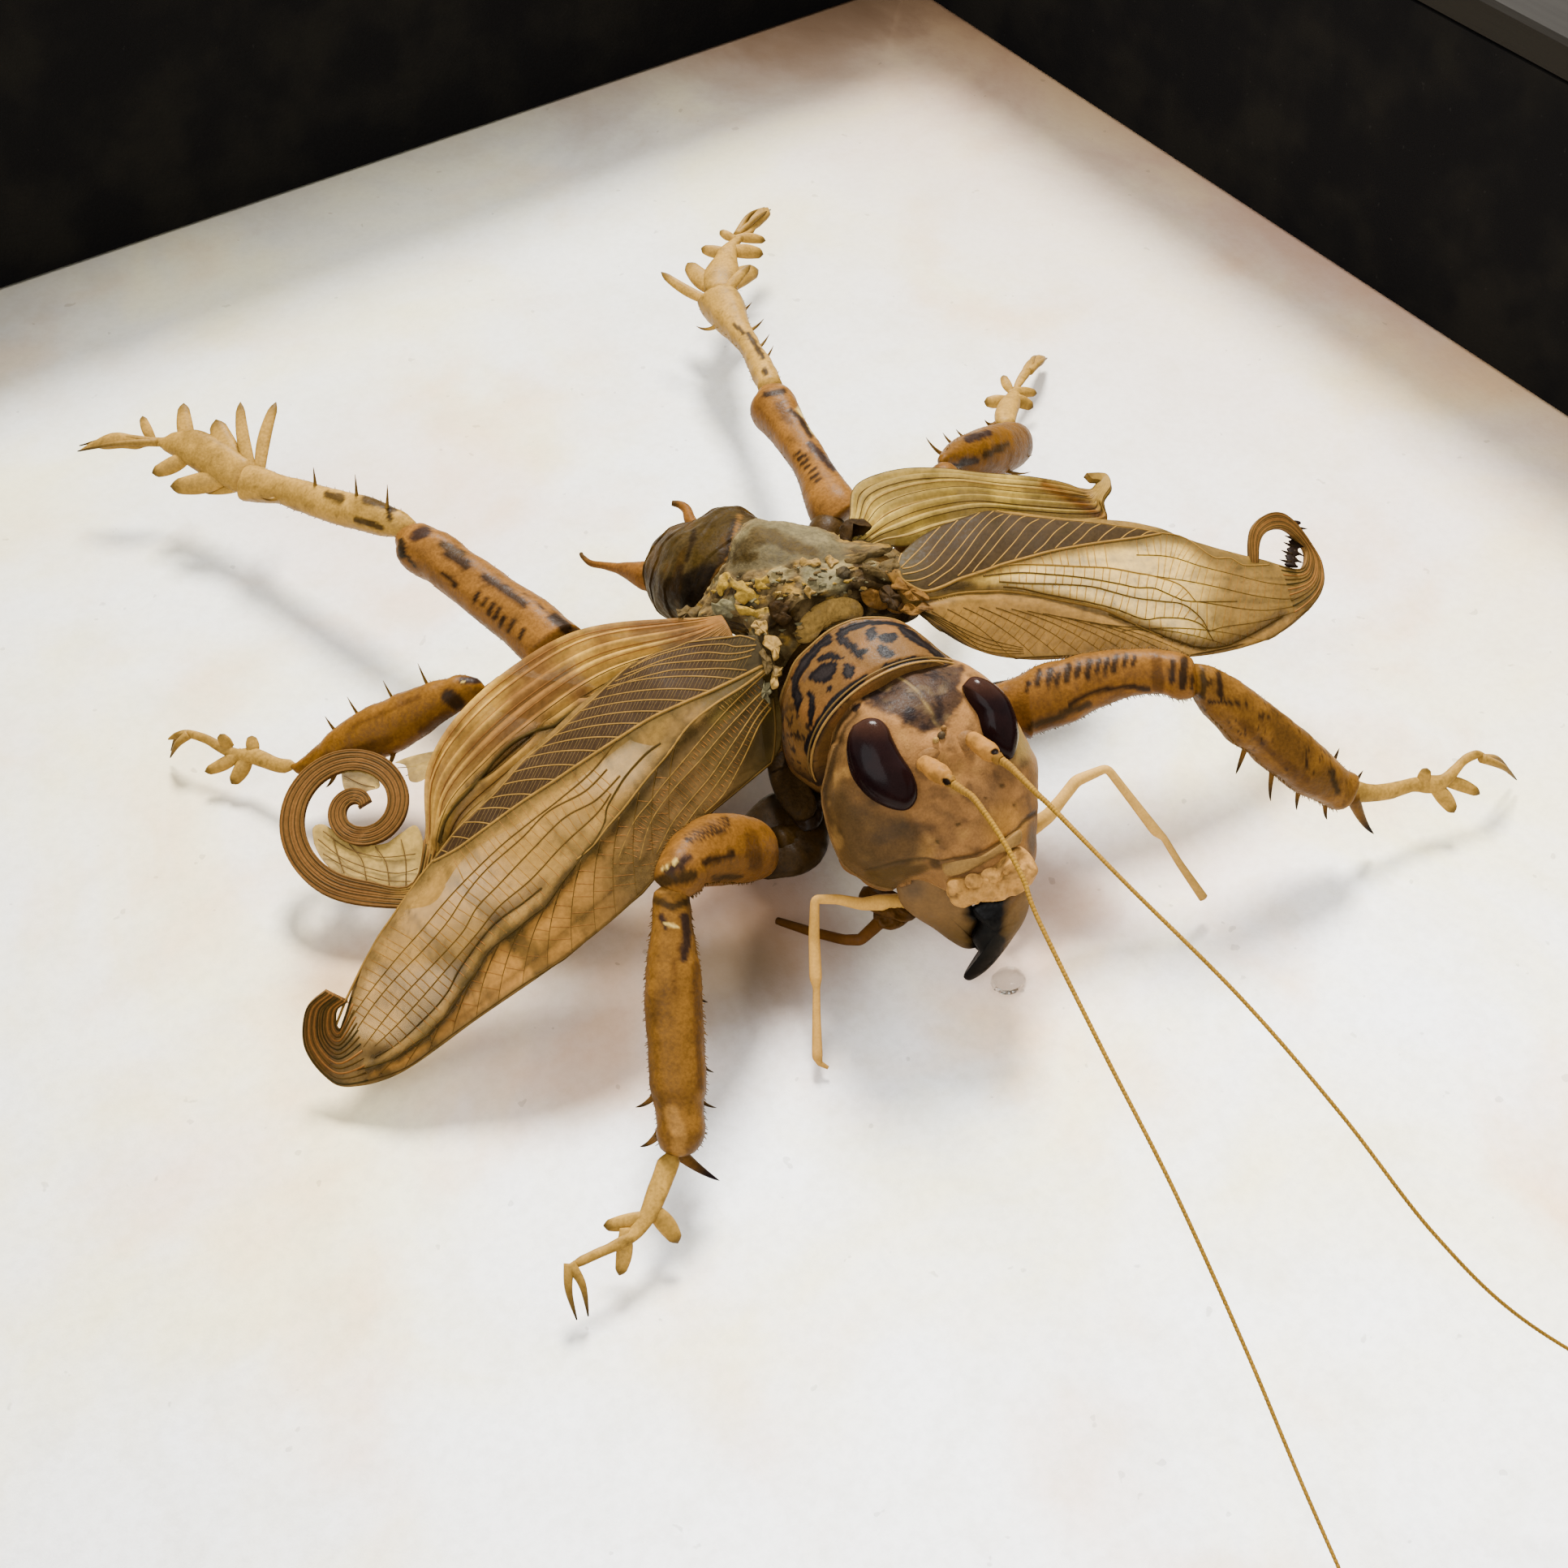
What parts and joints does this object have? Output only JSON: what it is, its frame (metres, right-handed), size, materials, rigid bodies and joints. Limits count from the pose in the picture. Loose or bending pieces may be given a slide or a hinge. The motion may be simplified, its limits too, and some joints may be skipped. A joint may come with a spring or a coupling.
{
  "type": "framed desert cricket",
  "caption": "Dried dune cricket with spread wings, coiled wing tips and spiny legs, fixed to mottled paper in a deep black tray frame.",
  "frame": {"origin": "middle of the frame's flat back", "axes": "+X across the frame, +Y towards its top edge and the insect's head, +Z out of the paper"},
  "size_m": [0.176, 0.227, 0.0359],
  "materials": {
    "frame_black": "black satin lacquer on moulding",
    "liner_black": "matt black paint with a little dust",
    "hardboard": "plain brown hardboard",
    "parchment": "mottled parchment paper, off-white with tan clouds",
    "head_cuticle": "dry cream and tan cuticle with brown clouds",
    "eye_gloss": "glossy dark maroon",
    "antenna_straw": "orange straw, finely ringed",
    "mandible_horn": "tan horn with black biting edges",
    "palp_straw": "pale straw, satin",
    "pronotum_cuticle": "orange tan with outlined dark patches, satin",
    "thorax_tissue": "torn grey and tan dried tissue",
    "abdomen_cuticle": "dark brown with darker stripes, satin",
    "wing_membrane": "thin translucent membrane with brown veins",
    "leg_cuticle": "golden tan cuticle with dark bars and patches, satin",
    "clear_glue": "clear glossy glue"
  },
  "bodies": {
    "root": {"frame_rail_top": "frame_black", "frame_rail_bottom": "frame_black", "frame_rail_left": "frame_black", "frame_rail_right": "frame_black", "liner_wall_top": "liner_black", "liner_wall_bottom": "liner_black", "liner_wall_left": "liner_black", "liner_wall_right": "liner_black", "backing_board": "hardboard", "background_paper": "parchment", "head": "head_cuticle", "eye_left": "eye_gloss", "eye_right": "eye_gloss", "antenna_left": "antenna_straw", "antenna_right": "antenna_straw", "mandible_left": "mandible_horn", "mandible_right": "mandible_horn", "palp_maxillary_left": "palp_straw", "palp_maxillary_right": "palp_straw", "palp_labial_left": "palp_straw", "palp_labial_right": "palp_straw", "pronotum": "pronotum_cuticle", "thorax": "thorax_tissue", "abdomen": "abdomen_cuticle", "forewing_left": "wing_membrane", "forewing_right": "wing_membrane", "hindwing_left": "wing_membrane", "hindwing_right": "wing_membrane", "foreleg_left": "leg_cuticle", "foreleg_right": "leg_cuticle", "midleg_left": "leg_cuticle", "midleg_right": "leg_cuticle", "hindleg_left": "leg_cuticle", "hindleg_right": "leg_cuticle", "glue_drop": "clear_glue"}
  },
  "joints": []
}
